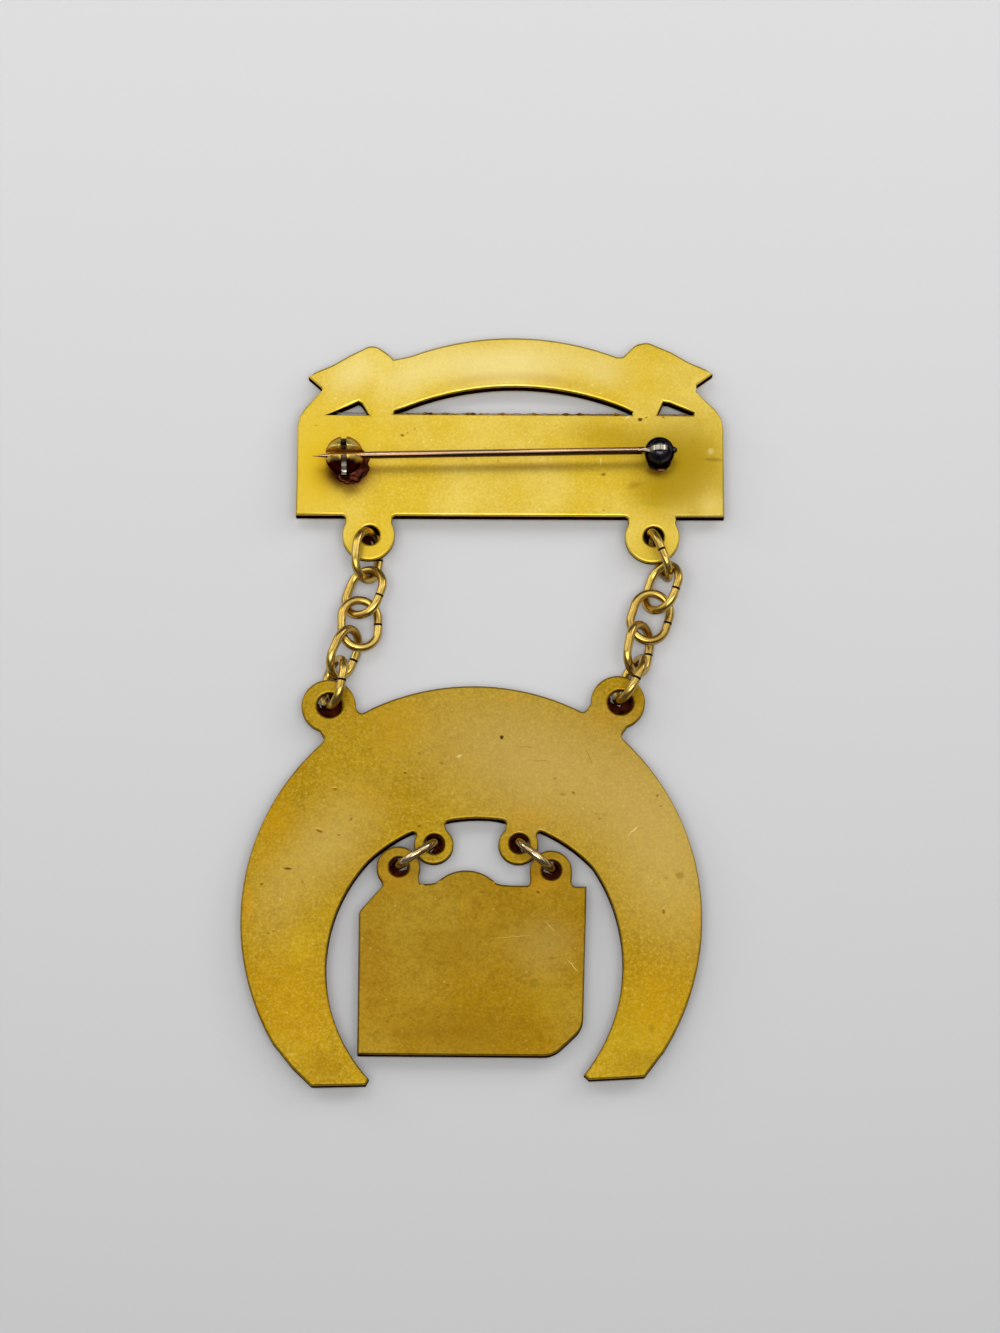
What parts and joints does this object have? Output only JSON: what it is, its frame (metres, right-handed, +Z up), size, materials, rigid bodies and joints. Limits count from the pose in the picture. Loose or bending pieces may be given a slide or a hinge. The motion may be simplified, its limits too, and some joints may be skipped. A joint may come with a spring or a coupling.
{
  "type": "hanging badge with a brooch pin",
  "caption": "Gilt badge lying face down: a bar with a hinged brooch pin and ball catch, two short chains, a crescent plate and a small plaque on jump rings.",
  "frame": {"origin": "Middle of the bounding box in x and y, on the surface that the badge lies on", "axes": "+X along the bar towards the pin's joint, +Y from the plaque to the bar, +Z up out of the badge's back"},
  "size_m": [0.0479, 0.0768, 0.0061],
  "materials": {
    "bright_gilt": "satin gilt, pale and bright",
    "satin_gilt": "satin gilt, mottled and pitted",
    "dark_gilt": "satin gilt, worn to ochre",
    "wire_gilt": "polished wire",
    "pin_steel": "polished wire, slightly browned",
    "pale_nickel": "satin plate, slightly dulled"
  },
  "bodies": {
    "badge": {"top_bar": "bright_gilt", "left_link_1": "wire_gilt", "left_link_2": "wire_gilt", "left_link_3": "wire_gilt", "left_link_4": "wire_gilt", "left_link_5": "wire_gilt", "right_link_1": "wire_gilt", "right_link_2": "wire_gilt", "right_link_3": "wire_gilt", "right_link_4": "wire_gilt", "right_link_5": "wire_gilt", "crescent": "satin_gilt", "left_drop_ring": "wire_gilt", "right_drop_ring": "wire_gilt", "plaque": "dark_gilt"},
    "pin": {"pin_stem": "pin_steel"},
    "safety_ring": {"catch_ring": "pale_nickel"}
  },
  "joints": [
    {"name": "pin_hinge", "type": "hinge", "parent": "badge", "child": "pin", "pos_m": [0.01745, 0.0256, 0.0042], "axis": [-0.0175, 0.9998, 0], "range_deg": [0, 95]},
    {"name": "catch_turn", "type": "hinge", "parent": "badge", "child": "safety_ring", "pos_m": [-0.01425, 0.02505, 0.0042], "axis": [-0.9998, -0.0175, 0], "range_deg": [0, 100]}
  ]
}
